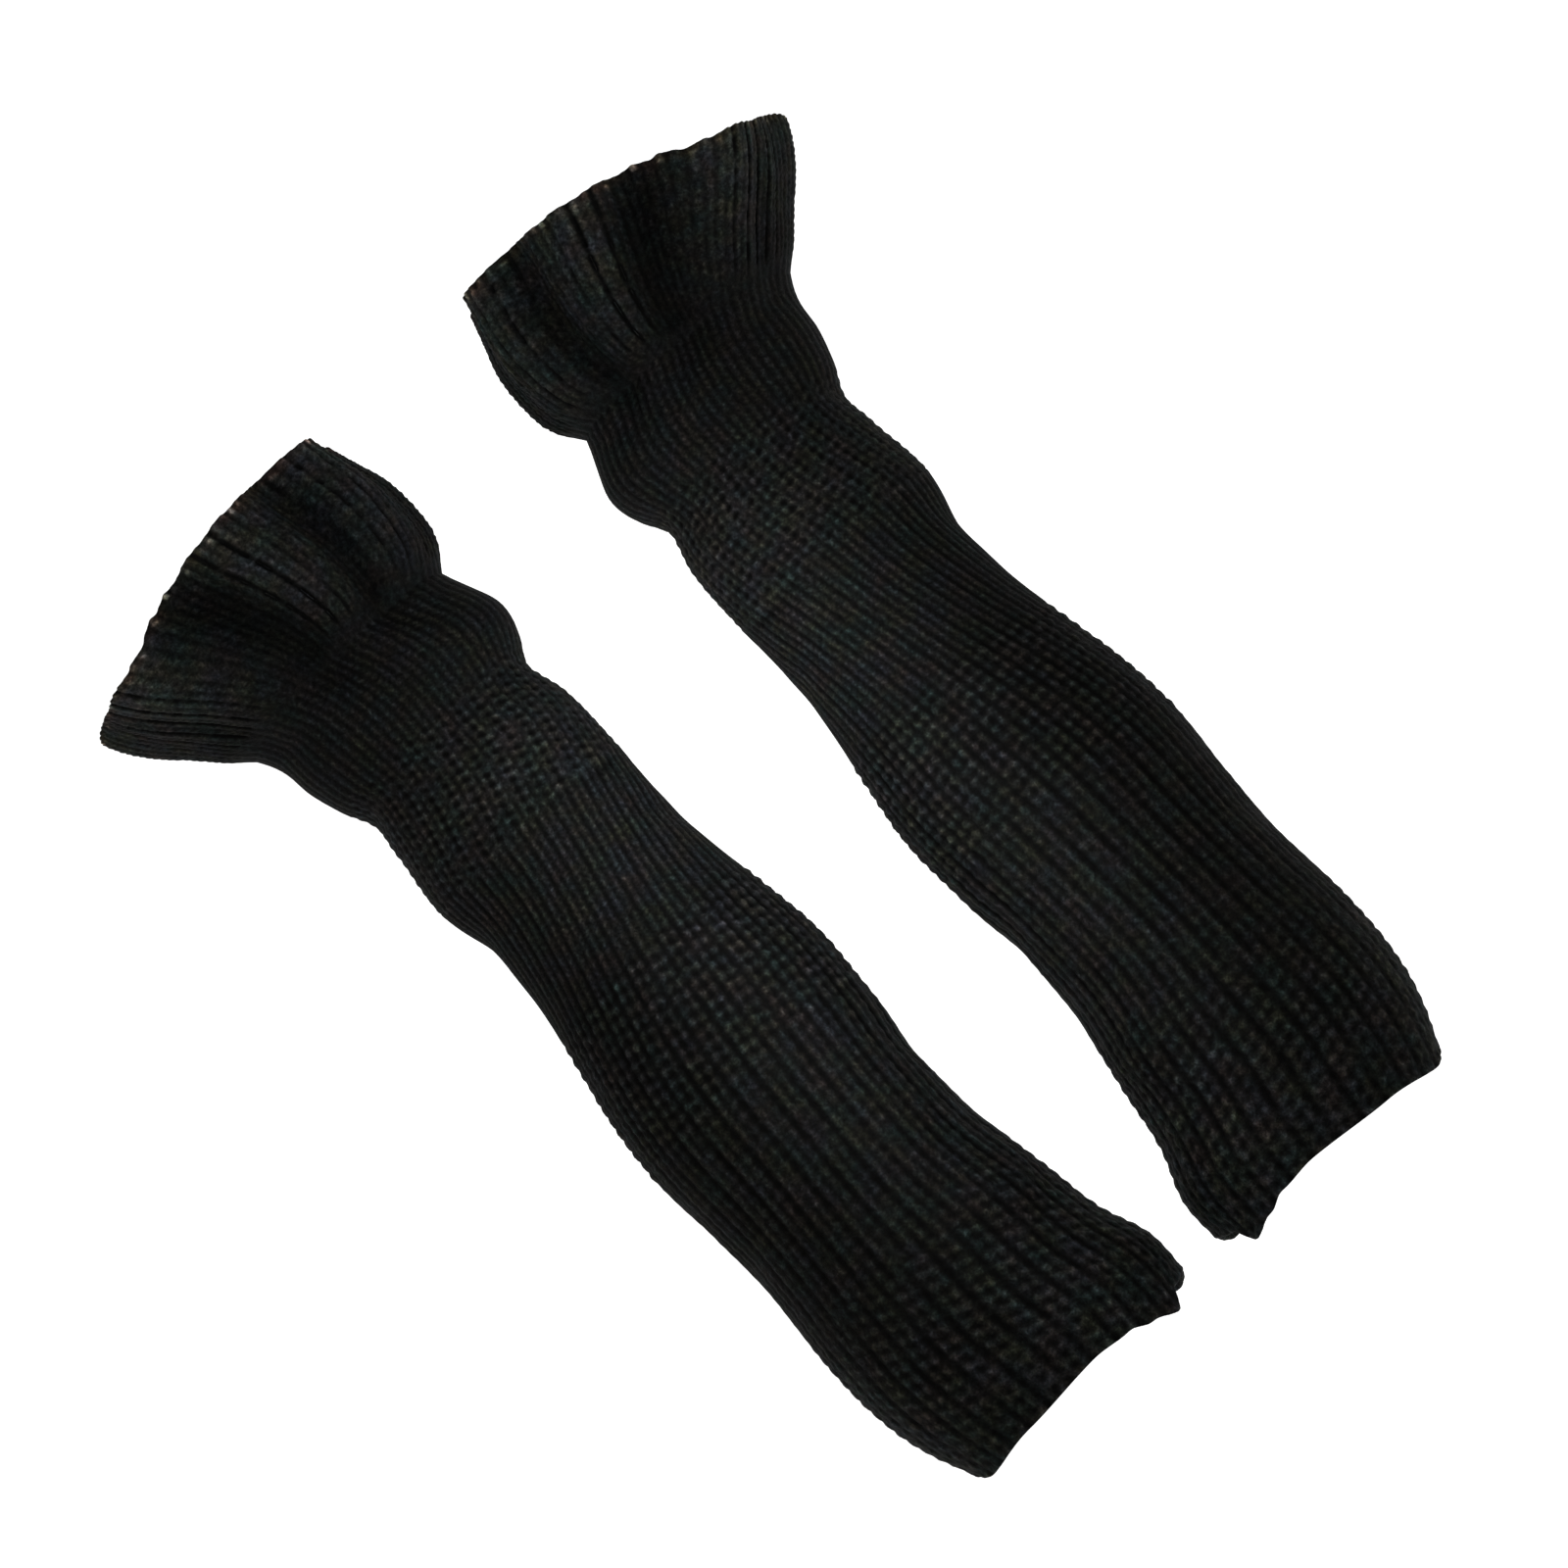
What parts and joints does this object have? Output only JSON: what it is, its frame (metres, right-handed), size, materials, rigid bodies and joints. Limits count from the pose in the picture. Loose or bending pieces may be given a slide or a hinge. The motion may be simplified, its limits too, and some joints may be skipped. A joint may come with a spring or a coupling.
{
  "type": "pair of arm warmers",
  "caption": "Long black ribbed-knit arm warmers, open at both ends, with a flared, fluted frill over the hand, filled out as if worn.",
  "frame": {"origin": "the point where the pair is held up, midway between the middles of the two sleeves: each forearm fills one sleeve, 71 mm to either side of it", "axes": "+Y along the arms from the open upper ends to the frills, +X to the outer side of the right warmer, +Z to the front of the sleeves"},
  "size_m": [0.3156, 0.4116, 0.1165],
  "materials": {
    "sleeve_knit": "matt black yarn, rib and seed knit in bands",
    "frill_knit": "matt black yarn, bold rib knit with a looped rim"
  },
  "bodies": {
    "root": {"right_sleeve": "sleeve_knit", "left_sleeve": "sleeve_knit", "right_frill": "frill_knit", "left_frill": "frill_knit"}
  },
  "joints": []
}
